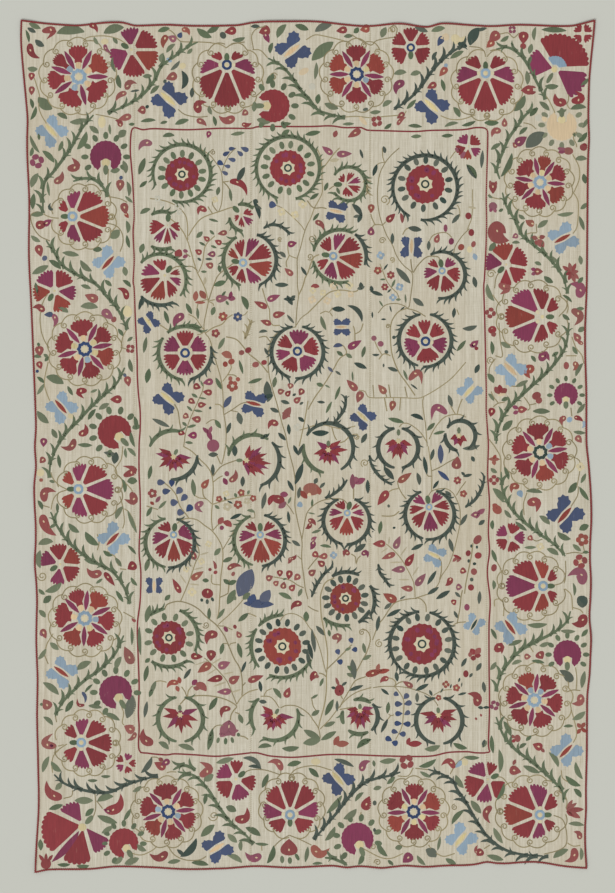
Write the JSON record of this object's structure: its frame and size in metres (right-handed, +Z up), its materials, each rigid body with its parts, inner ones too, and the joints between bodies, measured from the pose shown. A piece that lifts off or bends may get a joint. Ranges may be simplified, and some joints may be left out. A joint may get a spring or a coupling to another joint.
{
  "type": "suzani embroidered textile",
  "caption": "Flat hand-embroidered cotton cover of joined loom widths, with silk flowers, leaves and rosettes and a narrow red silk edge braid.",
  "frame": {"origin": "middle of the outline, on the underside", "axes": "+Z up out of the embroidered face, +Y along the cover's length towards its top edge, +X across its width"},
  "size_m": [1.6384, 2.43, 0.0062],
  "materials": {
    "cotton_ground": "plain-woven hand-spun cotton, matt",
    "silk_braid": "dark red silk braid",
    "silk_crimson": "crimson silk thread, soft sheen",
    "silk_magenta": "magenta silk thread, soft sheen",
    "silk_rust": "rust red silk thread, soft sheen",
    "silk_leaf": "leaf green silk thread, soft sheen",
    "silk_teal": "dark teal silk thread, soft sheen",
    "silk_olive": "faded olive silk thread, matt",
    "silk_navy": "indigo silk thread, soft sheen",
    "silk_sky": "sky blue silk thread, soft sheen",
    "silk_straw": "straw yellow silk thread, soft sheen",
    "silk_peach": "pale peach silk thread, soft sheen"
  },
  "bodies": {
    "root": {"panel_left": "cotton_ground", "panel_mid_left": "cotton_ground", "panel_middle": "cotton_ground", "panel_mid_right": "cotton_ground", "panel_right": "cotton_ground", "braid_top": "silk_braid", "braid_bottom": "silk_braid", "braid_left": "silk_braid", "braid_right": "silk_braid"}
  },
  "joints": []
}
